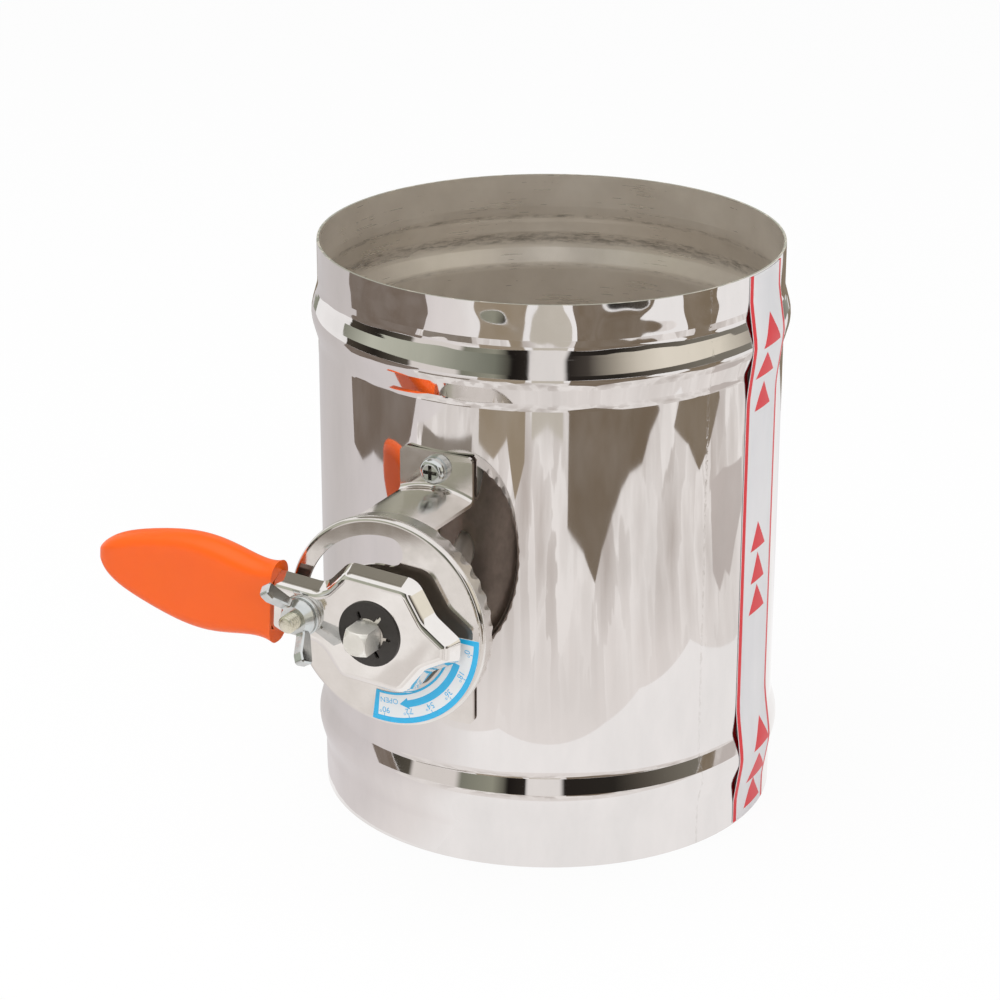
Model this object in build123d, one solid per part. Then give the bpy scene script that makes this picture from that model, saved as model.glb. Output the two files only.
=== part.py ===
"""Manual duct damper: a beaded stainless duct with a disc blade, a dished index bracket and a locking lever.

Frame: the origin is the centre of the lower rim, +Z runs up the duct and the handle stands out along -Y.
The damper is drawn closed, with the lever's pointer at the zero of the scale. Millimetres and degrees.
A "reach" is a distance from the duct's axis towards the handle, along the shaft.
"""
from build123d import *
import math
import os

# Duct
duct_radius = 80.0
duct_length = 200.0
duct_wall = 0.8
bead_inset = 25.0
bead_width = 19.0
bead_slope = 15.5
bead_crest_round = 11.5
bead_foot_round = 10.0

# Direction tape along the duct
tape_angle = 90.5
tape_width = 25.8
tape_thickness = 0.25
tape_inset = 0.5

# Small clearances that several pieces share
seat_gap = 0.05
running_clearance = 0.06
moving_gap = 0.3
hole_clearance = 0.2

# Shaft, a round rod with a square handle end
shaft_height = 100.0
shaft_radius = 6.0
shaft_tail = 8.0
shaft_chamfer = 0.8
square_side = 8.0
square_proud = 10.0
square_chamfer = 0.2

# Snap-in shaft bushes
bush_radius = 8.0
bush_flange_radius = 12.0
bush_flange = 2.5
bush_flange_round = 0.8
bush_lip = 1.0
bush_lip_length = 3.2

# Blade
blade_clearance = 1.2
blade_thickness = 1.2
blade_flat = 2.0
blade_notch_margin = 1.5
blade_screw_spacing = 70.0
blade_screw_radius = 2.5
blade_screw_head_radius = 4.6
blade_screw_head = 2.8
blade_screw_bite = 8.0

# Index bracket, a pressed dish on two legs
bracket_sheet = 1.2
dish_stand = 35.4
dish_radius = 36.3
dish_edge_round = 1.6
dish_depth = 8.4
dish_draft = 1.3
dish_hole_clearance = 0.6
pucker_count = 15
pucker_span = 122.0
pucker_radius = 6.0
pucker_depth = 0.28
pucker_lean = 15.0
leg_half_width = 13.5
leg_bend = 1.6
foot_end = 47.5
foot_corner = 2.0
slot_radius = 25.1
slot_width = 10.0
slot_play = 1.0

# Scale label
scale_zero = -3.5
travel = 90.0
label_margin = 4.5
label_inner_radius = 24.0
label_outer_radius = 34.6
label_thickness = 0.2

# Bracket fasteners
foot_screw_height = 41.6
foot_screw_radius = 2.5
foot_screw_head_radius = 4.5
foot_screw_head = 3.2
foot_screw_tail = 2.0
foot_washer_radius = 4.8
foot_washer = 0.9
foot_nut_flats = 8.0
foot_nut = 4.0
recess_width = 1.3
recess_span = 5.0
recess_depth = 1.5
head_crown_ratio = 0.6

# Lever, a pressed pan
lever_sheet = 1.5
lever_depth = 5.6
lever_gap = 4.0
lever_slope = 24.0
lever_edge_round = 3.0
lever_half_width = 20.3
lever_tip = 30.0
lever_tip_half = 3.8
lever_tip_round = 3.0
lever_throat = 20.8
lever_throat_half = 9.6
lever_front_shoulder = 13.4
lever_rear_shoulder = 11.4
lever_shoulder_round = 6.5
neck_start = 19.4
neck_half_width = 10.8
tang_end = 86.0
tang_end_half = 6.0
hub_radius = 9.0
shoulder_rise = 1.0

# Grip sleeve
grip_mouth = 36.6
grip_mouth_half = 14.4
grip_throat = 40.5
grip_throat_half = 13.5
grip_belly = 63.0
grip_belly_half = 16.5
grip_waist = 90.0
grip_waist_half = 11.9
grip_nose = 101.5
grip_nose_half = 6.9
grip_end = 106.0
grip_end_half = 2.6
grip_wall = 1.3
grip_half_depth = 5.3
grip_swell = 0.5
grip_round_ratio = 0.92

# Push-on star washers
clip_radius = 11.0
clip_thickness = 0.7
clip_dome = 0.7
clip_slits = 6
clip_slit_width = 1.3
clip_slit_reach = 8.3

# Clamp bolt, its sleeve, spring washer and wing nut
bolt_radius = 3.0
bolt_proud = 4.5
bolt_chamfer = 0.7
bolt_head_radius = 7.0
bolt_head = 3.0
bolt_head_round = 1.6
sleeve_wall = 3.0
spring_washer_radius = 6.9
spring_washer = 1.7
spring_washer_split = 0.8
spring_washer_round = 0.6
nut_bore_clearance = 0.05
nut_base_radius = 7.0
nut_top_radius = 4.7
nut_height = 4.0
nut_base_round = 0.8
wing_angle = 121.0
wing_span = 15.0
wing_rise = 11.4
wing_thickness = 3.9
wing_tip = 4.8
wing_root = 3.0
wing_round = 1.2
wing_bevel = 0.5
wing_tip_angle = 60.0

# Places that follow from the sizes above
duct_inner_radius = duct_radius - duct_wall
blade_radius = duct_inner_radius - blade_clearance
bush_end = duct_inner_radius - bush_lip - bush_lip_length
blade_reach = bush_end - blade_notch_margin
blade_seat = shaft_height + shaft_radius - blade_flat
dish_reach = duct_radius + dish_stand
dish_inside = dish_reach - bracket_sheet
leg_radius = dish_radius - dish_draft
foot_reach = duct_radius + seat_gap
lever_back = dish_reach + lever_gap
lever_reach = lever_back + lever_depth
lever_inside = lever_reach - lever_sheet
square_reach = lever_reach + square_proud
shoulder_reach = dish_reach + shoulder_rise
washer_seat = lever_reach + seat_gap
nut_seat = washer_seat + spring_washer + seat_gap
bolt_reach = nut_seat + nut_height + bolt_proud
bolt_angle = 180 + scale_zero
foot_nut_corner = foot_nut_flats / math.sqrt(3)
foot_nut_seat = math.sqrt(duct_inner_radius**2 - foot_nut_corner**2) - seat_gap
screw_places = (-blade_screw_spacing / 2, blade_screw_spacing / 2)
foot_places = (-foot_screw_height, foot_screw_height)


def handle_plane(reach=0.0, turn=0.0):
    """A plane across the shaft that faces the user, turned anticlockwise."""
    angle = math.radians(turn)
    across = (math.cos(angle), 0, math.sin(angle))
    return Plane(origin=(0, -reach, shaft_height), x_dir=across, z_dir=(0, -1, 0))


def bolt_plane(turn=0.0):
    """A plane across the clamp bolt, at reach 0."""
    angle = math.radians(bolt_angle)
    centre = handle_plane().from_local_coords((slot_radius * math.cos(angle), slot_radius * math.sin(angle)))
    return Plane(origin=centre, x_dir=handle_plane(0, turn).x_dir, z_dir=(0, -1, 0))


def rod(radius, low, high):
    """A round bar on the Z axis between two levels."""
    return extrude(Pos(0, 0, low) * Circle(radius), high - low)


def tube(inner, outer, low, high):
    return rod(outer, low, high) - rod(inner, low, high)


def wall_line(radius):
    """The duct's side from the lower rim to the upper one, with its two rolled beads."""
    half = bead_width / 2
    peak = radius + half * math.tan(math.radians(bead_slope))
    points = [(radius, 0)]
    for centre in (bead_inset, duct_length - bead_inset):
        points += [(radius, centre - half), (peak, centre), (radius, centre + half)]
    rounds = [bead_foot_round, bead_crest_round, bead_foot_round]
    return FilletPolyline(points + [(radius, duct_length)], radius=2 * rounds)


def wall_section(inner, outer):
    """The closed section between two such lines, standing in the XZ plane."""
    outline = wall_line(inner) + wall_line(outer)
    outline += [Line((inner, level), (outer, level)) for level in (0, duct_length)]
    return Plane.XZ * make_face(outline)


def duct_body():
    shell = revolve(wall_section(duct_inner_radius, duct_radius), Axis.Z, 360)
    far = 2 * duct_radius
    shell -= handle_plane() * rod(bush_radius + hole_clearance / 2, -far, far)
    for height in foot_places:
        shell -= handle_plane() * Pos(0, height) * rod(foot_screw_radius + hole_clearance, 0, far)
    return shell


def seam_tape():
    arc = math.degrees(tape_width / duct_radius)
    inner = duct_radius + seat_gap
    strip = revolve(wall_section(inner, inner + tape_thickness), Axis.Z, arc)
    strip = Rot(0, 0, tape_angle - 90 - arc / 2) * strip
    keep = Pos(0, 0, duct_length / 2) * Box(4 * duct_radius, 4 * duct_radius, duct_length - 2 * tape_inset)
    return strip & keep


def shaft_bush():
    """A snap-in bush: its flange is cut to the duct's curve, and a lip holds it from inside."""
    lip_radius = bush_radius + bush_lip
    lip_seat = math.sqrt(duct_inner_radius**2 - lip_radius**2) - seat_gap
    crown = duct_radius + bush_flange
    flange = rod(bush_flange_radius, duct_inner_radius - bush_flange, crown)
    flange = fillet(flange.edges().sort_by(Axis.Z)[-1], bush_flange_round)
    flange -= Rot(90, 0, 0) * Cylinder(duct_radius + seat_gap, 4 * bush_flange_radius)
    barrel = rod(bush_radius, bush_end, crown - bush_flange_round)
    lip = loft([Pos(0, 0, bush_end) * Circle(bush_radius), Pos(0, 0, lip_seat) * Circle(lip_radius)])
    return flange + barrel + lip - rod(shaft_radius + running_clearance, 0, 2 * duct_radius)


def shaft():
    tail_end = -(duct_radius + bush_flange + shaft_tail)
    bar = rod(shaft_radius, tail_end, shoulder_reach)
    bar = chamfer(bar.edges().sort_by(Axis.Z)[0], shaft_chamfer)
    square = extrude(Rectangle(square_side, square_side), square_reach)
    cone = rod(square_side, 0, square_reach)
    cone = chamfer(cone.edges().sort_by(Axis.Z)[-1], square_side / 2 + square_chamfer)
    turned = handle_plane(0, scale_zero) * (square & cone)
    bar = handle_plane() * bar + turned
    bar -= Pos(0, 0, blade_seat + shaft_radius) * Box(4 * shaft_radius, 2 * blade_reach, 2 * shaft_radius)
    for place in screw_places:
        bar -= Pos(0, place, shaft_height) * Cylinder(blade_screw_radius + seat_gap, 4 * shaft_radius)
    return bar


def blade():
    plate = rod(blade_radius, 0, blade_thickness)
    notch_half = bush_radius + bush_lip + blade_notch_margin
    for side in (-1, 1):
        notch = Box(2 * notch_half, 2 * notch_half, 4 * blade_thickness)
        plate -= Pos(0, side * (blade_reach + notch_half), 0) * notch
    for place in screw_places:
        plate -= Pos(0, place, 0) * Cylinder(blade_screw_radius + hole_clearance, 4 * blade_thickness)
    return Pos(0, 0, blade_seat) * plate


def pan_screw(radius, head_radius, head, length):
    """A pan-head screw with a cross recess: the head stands on the XY plane, the shank runs below it."""
    cap = rod(head_radius, 0, head)
    cap = fillet(cap.edges().sort_by(Axis.Z)[-1], head * head_crown_ratio)
    cross = Rectangle(recess_span, recess_width) + Rectangle(recess_width, recess_span)
    return cap + rod(radius, -length, 0) - extrude(Pos(0, 0, head) * cross, -recess_depth)


def blade_screws():
    length = blade_thickness + blade_screw_bite
    screw = pan_screw(blade_screw_radius, blade_screw_head_radius, blade_screw_head, length)
    return Compound(children=[Pos(0, place, blade_seat + blade_thickness) * screw for place in screw_places])


def bracket_leg():
    """One leg with its foot: the dish's wall carried back to the duct and turned outwards."""
    inner = leg_radius - bracket_sheet
    strip = Pos(0, dish_radius) * Rectangle(2 * leg_half_width, 2 * dish_radius)
    wall = (Circle(leg_radius) - Circle(inner)) & strip
    leg = extrude(Pos(0, 0, foot_reach) * wall, dish_reach - dish_depth - foot_reach)
    pad = Pos(0, foot_end / 2) * Rectangle(2 * leg_half_width, foot_end)
    pad = fillet(pad.vertices().group_by(Axis.Y)[-1], foot_corner)
    leg += extrude(Pos(0, 0, foot_reach) * (pad - Circle(inner)), bracket_sheet)
    curved = leg.edges().filter_by(GeomType.CIRCLE)
    outside = curved.filter_by(lambda edge: abs(edge.radius - leg_radius) < seat_gap)
    leg = fillet(outside.sort_by(Axis.Z)[0], leg_bend)
    curved = leg.edges().filter_by(GeomType.CIRCLE)
    inside = curved.filter_by(lambda edge: abs(edge.radius - inner) < seat_gap)
    leg = fillet(inside.sort_by(Axis.Z)[0], leg_bend + bracket_sheet)
    return leg - Pos(0, foot_screw_height) * rod(foot_screw_radius + hole_clearance, 0, dish_reach)


def wall_puckers():
    """Round bars that graze the dish's wall at its back edge, where the pressing gathered the sheet."""
    bar = Pos(leg_radius + pucker_radius - pucker_depth, 0) * Rot(0, pucker_lean, 0) * Cylinder(
        pucker_radius, 2 * dish_depth)
    bar = Pos(0, 0, dish_reach - dish_depth) * bar
    step = pucker_span / (pucker_count - 1)
    turns = [step * number - pucker_span / 2 for number in range(pucker_count)]
    return [Rot(0, 0, turn + side) * bar for side in (0, 180) for turn in turns]


def handle_bracket():
    back = dish_reach - dish_depth
    bore = shaft_radius + dish_hole_clearance
    section = FilletPolyline(
        (bore, dish_reach), (dish_radius, dish_reach), (leg_radius, back), (leg_radius - bracket_sheet, back),
        (dish_radius - bracket_sheet, dish_inside), (bore, dish_inside),
        radius=(0, dish_edge_round, 0, 0, dish_edge_round - bracket_sheet, 0), close=True)
    dish = revolve(Plane.XZ * make_face(section), Axis.Z, 360)
    centres = CenterArc((0, 0), slot_radius, bolt_angle - travel - slot_play, travel + 2 * slot_play)
    dish -= extrude(SlotArc(centres, slot_width), 2 * dish_reach)
    dish -= wall_puckers()
    leg = bracket_leg()
    return handle_plane() * (dish + leg + Rot(0, 0, 180) * leg)


def scale_label():
    start = scale_zero - travel - label_margin
    sweep = travel + 2 * label_margin
    outer = CenterArc((0, 0), label_outer_radius, start, sweep)
    inner = CenterArc((0, 0), label_inner_radius, start, sweep)
    face = make_face(outer + inner + Line(outer @ 0, inner @ 0) + Line(outer @ 1, inner @ 1))
    return handle_plane(dish_reach) * extrude(face, label_thickness)


def at_feet(piece):
    """The same piece at both feet of the bracket."""
    return Compound(children=[handle_plane() * Pos(0, height) * piece for height in foot_places])


def bracket_screws():
    seat = foot_reach + bracket_sheet + foot_washer
    length = seat - foot_nut_seat + foot_nut + foot_screw_tail
    screw = pan_screw(foot_screw_radius, foot_screw_head_radius, foot_screw_head, length)
    return at_feet(Pos(0, 0, seat) * screw)


def bracket_washers():
    seat = foot_reach + bracket_sheet
    return at_feet(tube(foot_screw_radius + hole_clearance, foot_washer_radius, seat, seat + foot_washer))


def bracket_nuts():
    hexagon = RegularPolygon(foot_nut_flats / 2, 6, major_radius=False) - Circle(foot_screw_radius + seat_gap)
    return at_feet(extrude(Pos(0, 0, foot_nut_seat - foot_nut) * hexagon, foot_nut))


def lever_face(margin=0.0):
    """The lever's outline, with the pointer along +X and the tang along -X, grown by a margin."""
    half = [
        ((lever_tip, lever_tip_half), lever_tip_round),
        ((lever_throat, lever_throat_half), lever_shoulder_round),
        ((lever_front_shoulder, lever_half_width), lever_shoulder_round),
        ((-lever_rear_shoulder, lever_half_width), lever_shoulder_round),
        ((-neck_start, neck_half_width), lever_shoulder_round),
        ((-grip_mouth, neck_half_width), 0),
        ((-tang_end, tang_end_half), 0)]
    whole = half + [((x, -y), radius) for (x, y), radius in reversed(half)]
    corners = [corner for corner, _ in whole]
    rounds = [radius for _, radius in whole]
    outline = FilletPolyline(corners, radius=rounds, close=True)
    return offset(make_face(outline), margin) if margin else make_face(outline)


def square_hole():
    side = square_side + 2 * running_clearance
    return extrude(Rectangle(side, side), 2 * lever_reach)


def lever_pan(margin, depth):
    """A block with sloping walls on the lever's outline less a margin."""
    return extrude(Pos(0, 0, lever_back) * lever_face(-margin), depth, taper=lever_slope)


def lever():
    pan = lever_pan(0, lever_depth)
    pan = fillet(pan.faces().sort_by(Axis.Z)[-1].edges(), lever_edge_round)
    pan -= lever_pan(lever_sheet, lever_depth - lever_sheet)
    pan -= square_hole()
    pan -= Pos(-slot_radius, 0) * rod(bolt_radius + hole_clearance, 0, 2 * lever_reach)
    return handle_plane(0, scale_zero) * pan


def lever_hub():
    hub = rod(hub_radius, shoulder_reach + seat_gap, lever_inside) - square_hole()
    return handle_plane(0, scale_zero) * hub


def handle_grip():
    """A dipped sleeve: rounded sections from the flared mouth over the belly to the blunt end."""
    full = grip_half_depth
    middle = lever_reach + grip_wall - full
    sections = [
        (grip_mouth, grip_mouth_half, full),
        (grip_throat, grip_throat_half, full),
        (grip_belly, grip_belly_half, full + grip_swell),
        (grip_waist, grip_waist_half, full),
        (grip_nose, grip_nose_half, full - grip_wall),
        (grip_end, grip_end_half, grip_end_half / 2)]
    ovals = []
    for place, half_width, half_height in sections:
        across = Plane(origin=(-place, 0, middle), x_dir=(0, 1, 0), z_dir=(-1, 0, 0))
        round_off = grip_round_ratio * half_height
        ovals.append(across * RectangleRounded(2 * half_width, 2 * half_height, round_off))
    sleeve = loft(ovals)
    socket = lever_pan(-seat_gap, lever_depth + seat_gap)
    return handle_plane(0, scale_zero) * (sleeve - socket)


def star_washer(hole):
    """A push-on washer, coned up to its hole, with slits that free its teeth."""
    cone = Polyline(
        (clip_radius, 0), (clip_radius, clip_thickness),
        (hole, clip_thickness + clip_dome), (hole, clip_dome), close=True)
    washer = revolve(Plane.XZ * make_face(cone), Axis.Z, 360)
    for number in range(clip_slits // 2):
        slit = Rot(0, 0, 360 / clip_slits * number) * SlotOverall(2 * clip_slit_reach, clip_slit_width)
        washer -= extrude(slit, 2 * (clip_thickness + clip_dome))
    return washer


def shaft_clip():
    half_diagonal = square_side / math.sqrt(2)
    return handle_plane(lever_reach + seat_gap, scale_zero) * star_washer(half_diagonal + seat_gap)


def rear_clip():
    seat = duct_radius + bush_flange + moving_gap
    return Rot(0, 0, 180) * (handle_plane(seat) * star_washer(shaft_radius + seat_gap))


def clamp_bolt():
    head_top = dish_inside - moving_gap
    head = rod(bolt_head_radius, head_top - bolt_head, head_top)
    head = fillet(head.edges().sort_by(Axis.Z)[0], bolt_head_round)
    shank = rod(bolt_radius, head_top - bolt_head / 2, bolt_reach)
    shank = chamfer(shank.edges().sort_by(Axis.Z)[-1], bolt_chamfer)
    return bolt_plane() * (head + shank)


def clamp_sleeve():
    bore = bolt_radius + hole_clearance
    return bolt_plane() * tube(bore, bore + sleeve_wall, dish_reach + moving_gap, lever_inside)


def spring_washer_ring():
    ring = rod(spring_washer_radius, washer_seat, washer_seat + spring_washer)
    ring = fillet(ring.edges().filter_by(GeomType.CIRCLE), spring_washer_round)
    ring -= rod(bolt_radius + hole_clearance, 0, 2 * washer_seat)
    split = Pos(spring_washer_radius, 0, washer_seat) * Box(
        2 * spring_washer_radius, spring_washer_split, 4 * spring_washer)
    return bolt_plane(wing_angle) * (ring - split)


def wing_nut():
    boss = loft([
        Pos(0, 0, nut_seat) * Circle(nut_base_radius),
        Pos(0, 0, nut_seat + nut_height) * Circle(nut_top_radius)])
    boss = fillet(boss.edges().sort_by(Axis.Z)[0], nut_base_round)
    slant = math.radians(wing_tip_angle)
    tip_low = wing_rise - wing_tip * math.sin(slant)
    tip_in = wing_span - wing_tip * math.cos(slant)
    profile = FilletPolyline(
        (bolt_radius, wing_root / 3), (nut_base_radius, wing_root / 2), (wing_span, tip_low),
        (tip_in, wing_rise), (tip_in - wing_root, wing_rise - wing_root / 2),
        (nut_top_radius, nut_height), (bolt_radius, nut_height),
        radius=(0, wing_round, wing_round, wing_round, wing_round, wing_round, 0), close=True)
    wing = extrude(Plane.XZ * make_face(profile), wing_thickness / 2, both=True)
    wing = chamfer(wing.faces().filter_by(Axis.Y).edges(), wing_bevel)
    nut = boss + Pos(0, 0, nut_seat) * (wing + mirror(wing, Plane.YZ))
    return bolt_plane(wing_angle) * (nut - rod(bolt_radius + nut_bore_clearance, 0, 2 * nut_seat))


nodes = {
    "duct_body": duct_body(),
    "seam_tape": seam_tape(),
    "front_bush": handle_plane() * shaft_bush(),
    "rear_bush": Rot(0, 0, 180) * (handle_plane() * shaft_bush()),
    "handle_bracket": handle_bracket(),
    "scale_label": scale_label(),
    "bracket_screws": bracket_screws(),
    "bracket_washers": bracket_washers(),
    "bracket_nuts": bracket_nuts(),
    "shaft": shaft(),
    "blade": blade(),
    "blade_screws": blade_screws(),
    "lever": lever(),
    "lever_hub": lever_hub(),
    "handle_grip": handle_grip(),
    "shaft_clip": shaft_clip(),
    "rear_clip": rear_clip(),
    "clamp_bolt": clamp_bolt(),
    "clamp_sleeve": clamp_sleeve(),
    "spring_washer": spring_washer_ring(),
    "wing_nut": wing_nut(),
}

os.makedirs("parts", exist_ok=True)
for name, solid in nodes.items():
    export_step(solid, f"parts/{name}.step")
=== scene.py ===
from math import cos, pi, radians, sin

import bmesh
import bpy
from mathutils import Matrix, Vector


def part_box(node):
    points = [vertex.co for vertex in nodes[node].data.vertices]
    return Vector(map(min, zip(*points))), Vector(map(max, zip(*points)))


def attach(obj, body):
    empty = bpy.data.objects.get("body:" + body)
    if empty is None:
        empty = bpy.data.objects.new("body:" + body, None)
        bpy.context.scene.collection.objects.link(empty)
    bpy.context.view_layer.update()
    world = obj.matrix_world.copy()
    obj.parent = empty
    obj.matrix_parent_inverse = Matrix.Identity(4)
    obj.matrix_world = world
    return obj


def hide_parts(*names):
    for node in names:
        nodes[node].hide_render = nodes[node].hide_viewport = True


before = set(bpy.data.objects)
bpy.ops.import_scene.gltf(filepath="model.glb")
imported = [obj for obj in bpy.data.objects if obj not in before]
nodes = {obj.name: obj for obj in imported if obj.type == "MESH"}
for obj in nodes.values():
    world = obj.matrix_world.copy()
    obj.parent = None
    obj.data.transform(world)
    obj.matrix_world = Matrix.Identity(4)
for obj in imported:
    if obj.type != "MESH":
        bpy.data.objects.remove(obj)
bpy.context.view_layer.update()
scene = bpy.context.scene
scene.view_settings.view_transform = "Standard"
mm = 0.001


# Studio: a white sweep with the camera at the photograph's place, a soft overhead light and a side fill.
# Polished steel shows only what stands round it, so cards stand and lie out of the picture's edge.
# The cards are seen in reflections alone and throw no shade.
camera_place = Vector((450.4, -880.2, 486.4)) * mm
camera_aim = Vector((-15.5, -7.9, 102.9)) * mm
camera_roll = 0.1
lens = 108.27
sensor = 36

camera = bpy.data.objects.new("camera", bpy.data.cameras.new("camera"))
scene.collection.objects.link(camera)
camera.data.lens = lens
camera.data.sensor_width = sensor
camera.location = camera_place
aim_turn = (camera_aim - camera_place).to_track_quat("-Z", "Y")
camera.rotation_euler = (aim_turn.to_matrix() @ Matrix.Rotation(radians(camera_roll), 3, "Z")).to_euler()
scene.camera = camera


def srgb(code):
    """A colour written as six hex digits, as the linear values that a shader takes."""
    parts = [int(code[i:i + 2], 16) / 255 for i in (0, 2, 4)]
    return tuple(p / 12.92 if p <= 0.04045 else ((p + 0.055) / 1.055) ** 2.4 for p in parts) + (1,)


def feed(tree, socket, value):
    """Links a node's output to an input, or sets the input to a value. A colour may be written as a code."""
    if isinstance(value, bpy.types.NodeSocket):
        tree.links.new(value, socket)
    else:
        socket.default_value = srgb(value) if isinstance(value, str) else value


def add(tree, kind, **settings):
    """A shader node. Each keyword is a setting of the node, or what goes into one of its inputs."""
    made = tree.nodes.new("ShaderNode" + kind)
    for name, value in settings.items():
        if hasattr(made, name):
            setattr(made, name, value)
        else:
            feed(tree, made.inputs[name.replace("_", " ")], value)
    return made


def sums(tree, operation, *values):
    """A Math node. Its inputs are numbers or the outputs of other nodes."""
    made = add(tree, "Math", operation=operation)
    for socket, value in zip(made.inputs, values):
        feed(tree, socket, value)
    return made.outputs[0]


def vectors(tree, operation, *values):
    """A Vector Math node. Its inputs are vectors or the outputs of other nodes."""
    made = add(tree, "VectorMath", operation=operation)
    for socket, value in zip(made.inputs, values):
        feed(tree, socket, value)
    return made.outputs["Value" if operation in ("DOT_PRODUCT", "LENGTH") else "Vector"]


def mixed_shader(tree, share, first, second):
    made = add(tree, "MixShader")
    for socket, value in zip(made.inputs, (share, first.outputs[0], second.outputs[0])):
        feed(tree, socket, value)
    return made.outputs[0]


def blank_material(name):
    material = bpy.data.materials.new(name)
    material.use_nodes = True
    material.node_tree.nodes.clear()
    return material, material.node_tree


def put(name, bm):
    """A new object at the origin that holds the finished bmesh."""
    mesh = bpy.data.meshes.new(name)
    bm.to_mesh(mesh)
    bm.free()
    made = bpy.data.objects.new(name, mesh)
    scene.collection.objects.link(made)
    return made


def background_rays(tree):
    """1 for the rays that show the background: seen, mirrored or through glass."""
    path = add(tree, "LightPath").outputs
    seen = sums(tree, "MAXIMUM", path["Is Camera Ray"], path["Is Glossy Ray"])
    return sums(tree, "MAXIMUM", seen, path["Is Transmission Ray"])


white = "FFFFFF"
sky_light = 0.62
world = bpy.data.worlds.new("studio")
scene.world = world
world.use_nodes = True
tree = world.node_tree
tree.nodes.clear()
soft_sky = add(tree, "Background", Color=white, Strength=sky_light)
white_sky = add(tree, "Background", Color=white, Strength=1)
add(tree, "OutputWorld", Surface=mixed_shader(tree, background_rays(tree), soft_sky, white_sky))

floor_size = 6.0
floor_drop = 0.2 * mm
floor_glow = 0.93
floor_grey = (0.86, 0.86, 0.86, 1)
bm = bmesh.new()
bmesh.ops.create_grid(bm, x_segments=1, y_segments=1, size=floor_size)
bmesh.ops.translate(bm, verts=bm.verts, vec=(0, 0, -floor_drop))
floor = put("floor", bm)
material, tree = blank_material("white_sweep")
matt = add(tree, "BsdfDiffuse", Color=floor_grey)
glow = add(tree, "Emission", Color=white, Strength=1)
glow_share = sums(tree, "MULTIPLY", background_rays(tree), floor_glow)
add(tree, "OutputMaterial", Surface=mixed_shader(tree, glow_share, matt, glow))
floor.data.materials.append(material)


def mixed_colour(tree, share, first, second):
    """Two colours mixed by a share from 0 to 1. A colour is a code or a node's output."""
    made = add(tree, "Mix", data_type="RGBA")
    for number, value in ((0, share), (6, first), (7, second)):
        feed(tree, made.inputs[number], value)
    return made.outputs[2]


def ramp(tree, value, low, high, to_low=0.0, to_high=1.0):
    """A value carried from one range to another and held at its ends."""
    made = add(tree, "MapRange", Value=value, From_Min=low, From_Max=high, To_Min=to_low, To_Max=to_high)
    return made.outputs["Result"]


def noise(tree, vector, scale, detail=2.0, roughness=0.5):
    made = add(tree, "TexNoise", Vector=vector, Scale=scale, Detail=detail, Roughness=roughness)
    return made.outputs["Fac"]


def object_place(tree):
    return add(tree, "TexCoord").outputs["Object"]


def split(tree, vector):
    """The three parts of a vector, by the names of the axes."""
    return add(tree, "SeparateXYZ", Vector=vector).outputs


def bearing_of(tree, parts):
    """The bearing of a point in radians from the damper's front, towards its right."""
    return sums(tree, "ARCTAN2", parts["X"], sums(tree, "MULTIPLY", parts["Y"], -1))


def polar(radius, bearing, height=0.0):
    """A point of the studio. The bearing is in degrees from the damper's front, towards its right."""
    turn = radians(bearing)
    return Vector((radius * sin(turn), -radius * cos(turn), height))


def reflected_card(name, bm):
    """A card of the studio that polished metal mirrors, and that neither the camera nor the light meets.

    Gives its node tree and the input that its colour goes into.
    """
    made = put(name, bm)
    material, tree = blank_material(name)
    shade = add(tree, "Emission", Strength=1)
    add(tree, "OutputMaterial", Surface=shade.outputs[0])
    made.data.materials.append(material)
    made.visible_camera = False
    made.visible_diffuse = False
    made.visible_shadow = False
    made.visible_volume_scatter = False
    return tree, shade.inputs["Color"]


def flat_card(name, edge, lift):
    """A card that lies on the floor, from the (distance, bearing) of its corners."""
    bm = bmesh.new()
    bm.faces.new([bm.verts.new(polar(radius, bearing, lift)) for radius, bearing in edge])
    bmesh.ops.recalc_face_normals(bm, faces=bm.faces)
    return reflected_card(name, bm)


# Cards on the floor, as (distance in metres, bearing) round the edge of each.
floor_cards = {
    "card_left": ("7C7066", [(0.43, -77), (0.415, -70), (0.435, -62), (0.425, -52), (0.45, -46), (0.47, -40),
                             (0.62, -33), (0.75, -34), (0.8, -55), (0.8, -80), (0.6, -82)]),
    "card_near": ("8B8379", [(0.425, -34), (0.415, -26), (0.425, -18), (0.41, -9), (0.5, -8), (0.49, -20),
                             (0.5, -33)]),
    "card_front": ("A0937F", [(0.49, -5), (0.47, 2), (0.5, 8), (0.42, 12), (0.47, 16), (0.8, 16.5),
                              (0.8, -5)]),
    "card_right": ("7C6F5F", [(0.388, 35), (0.372, 39), (0.36, 42), (0.325, 47), (0.36, 50), (0.4, 55),
                              (0.43, 59), (0.45, 63), (0.46, 69), (0.5, 73), (0.53, 78), (0.58, 72),
                              (0.62, 69), (0.8, 74), (0.8, 36)]),
    "card_side": ("857866", [(0.5, 85), (0.47, 93), (0.43, 99), (0.46, 105), (0.52, 112), (0.62, 109),
                             (0.8, 112), (0.8, 90), (0.6, 92)]),
    "card_strip": ("CFCABF", [(0.5, 19), (0.52, 26), (0.5, 33), (0.8, 33), (0.8, 19)]),
    "card_shade": ("CBC4C0", [(0.3, 106), (0.275, 110), (0.295, 114), (0.285, 117), (0.32, 122), (0.36, 128),
                              (0.42, 128), (0.42, 114), (0.41, 106)]),
    "card_back": ("857866", [(0.5, 175), (0.42, 186), (0.36, 198), (0.45, 212), (0.5, 226), (0.8, 228),
                             (0.8, 176)]),
}
card_lift = 1 * mm
card_wear = 0.07
wear_scale = 7
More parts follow.
